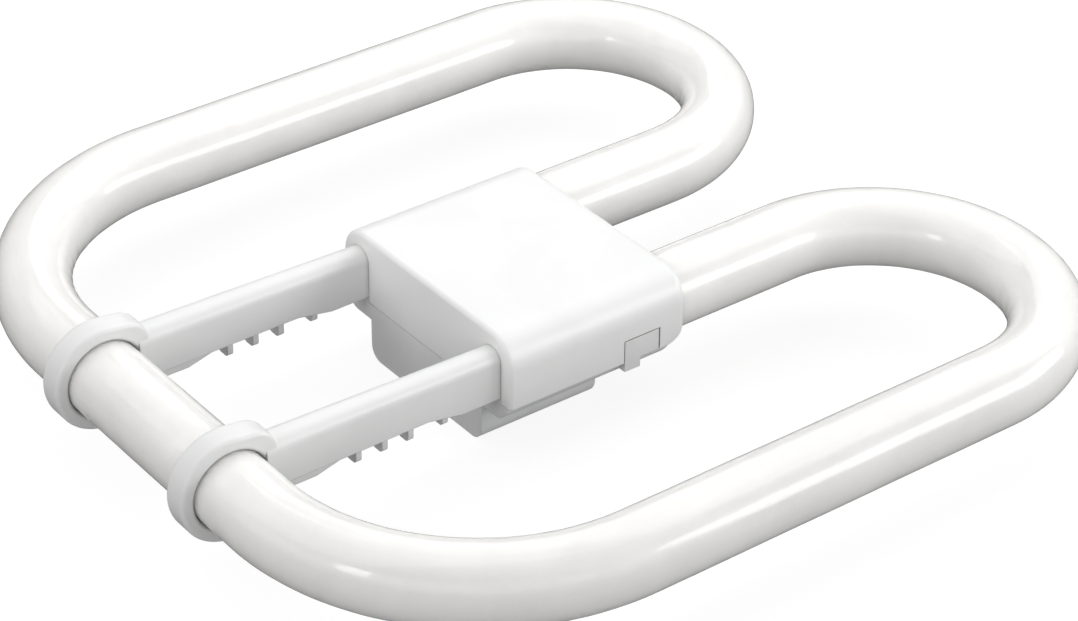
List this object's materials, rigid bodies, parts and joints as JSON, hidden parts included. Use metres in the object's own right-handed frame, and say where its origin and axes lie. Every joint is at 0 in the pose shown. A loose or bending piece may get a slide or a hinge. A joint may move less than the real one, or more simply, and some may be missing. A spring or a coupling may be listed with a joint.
{
  "type": "square compact fluorescent lamp",
  "caption": "Square four-pin compact fluorescent lamp: one white tube bent into two D-shaped loops, with a white moulded cap in the middle and two ribbed support arms clipped to the tube.",
  "frame": {"origin": "On the resting face of the contact block, under the middle of the lamp's outline", "axes": "+Z out of the top of the cap, away from the lampholder; +Y from the arms' clips towards the bends of the two loops; +X to the right"},
  "size_m": [0.2036, 0.2082, 0.0329],
  "materials": {
    "coated_glass": "clear glass over a white phosphor coating, opaque and glossy",
    "cover_moulding": "white moulded thermoplastic, satin",
    "base_moulding": "white moulded thermoplastic, satin",
    "arm_moulding": "white moulded thermoplastic, satin",
    "turned_brass": "bright turned brass",
    "drawn_wire": "bare drawn nickel-iron wire",
    "capping_cement": "dry off-white cement"
  },
  "bodies": {
    "root": {"discharge_tube": "coated_glass", "cap_cover": "cover_moulding", "cap_base": "base_moulding", "support_arm_left": "arm_moulding", "support_arm_right": "arm_moulding", "contact_pin_1": "turned_brass", "contact_pin_2": "turned_brass", "contact_pin_3": "turned_brass", "contact_pin_4": "turned_brass", "lead_wire_1": "drawn_wire", "lead_wire_2": "drawn_wire", "lead_wire_3": "drawn_wire", "lead_wire_4": "drawn_wire", "tube_cement_left": "capping_cement", "tube_cement_right": "capping_cement"}
  },
  "joints": []
}
